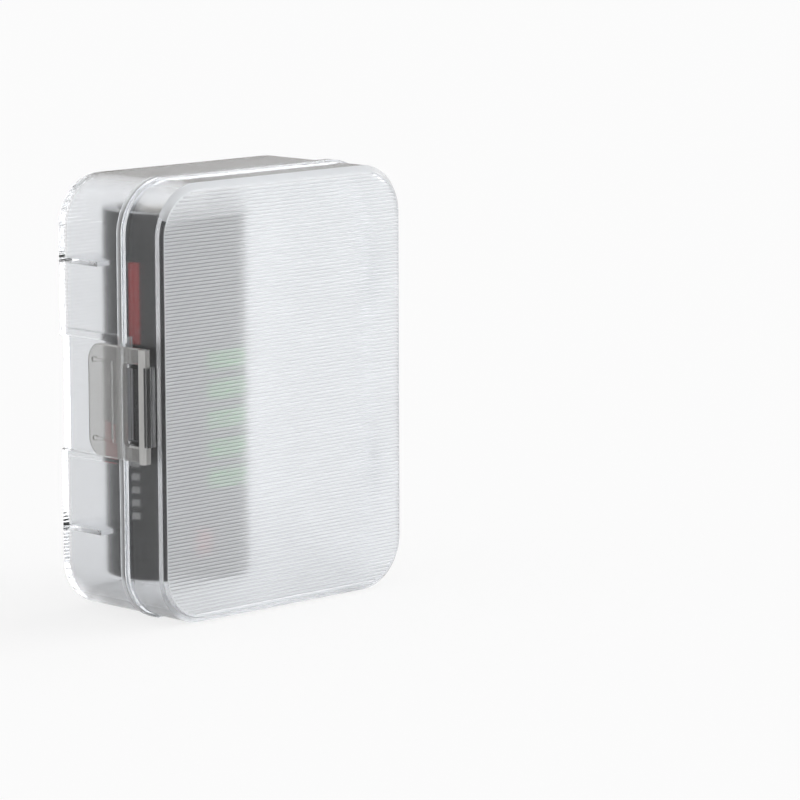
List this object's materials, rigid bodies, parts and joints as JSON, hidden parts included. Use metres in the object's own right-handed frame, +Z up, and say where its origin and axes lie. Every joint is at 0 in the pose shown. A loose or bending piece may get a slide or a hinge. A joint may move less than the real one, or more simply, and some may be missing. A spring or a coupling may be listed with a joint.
{
  "type": "battery storage case",
  "caption": "Clear upright plastic case for cylindrical battery cells, with ribbed faces, a side hinge, a swinging latch and cradles that hold the cells.",
  "frame": {"origin": "on the floor, below the middle of the closed case's width and depth", "axes": "+Z up, -Y towards the ribbed front face, -X towards the latch, +X towards the hinge"},
  "size_m": [0.0667, 0.0286, 0.0804],
  "materials": {
    "clear_plastic": "clear, polished walls and finely ribbed faces",
    "pin_steel": "drawn wire",
    "cell_core": "plated",
    "black_film": "smooth shrunk film",
    "nickel": "plated",
    "board": "lacquered",
    "insulator": "pressed fibre"
  },
  "bodies": {
    "rear": {"rear_shell": "clear_plastic", "hinge_pin_lower": "pin_steel", "hinge_pin_upper": "pin_steel", "cell_can": "cell_core", "cell_sleeve": "black_film", "cell_contact_strip": "nickel", "cell_protection_board": "board", "cell_negative_contact": "nickel", "cell_insulator_ring": "insulator", "cell_positive_cap": "nickel"},
    "lid": {"front_shell": "clear_plastic"},
    "latch": {"latch": "clear_plastic"}
  },
  "joints": [
    {"name": "lid_hinge", "type": "hinge", "parent": "rear", "child": "lid", "pos_m": [0.0325, -0.0045, 0.04], "axis": [0, 0, 1], "range_deg": [0, 180]},
    {"name": "latch_pivot", "type": "hinge", "parent": "lid", "child": "latch", "pos_m": [-0.03155, -0.01125, 0.0404], "axis": [0, 0, 1], "range_deg": [0, 110]}
  ]
}
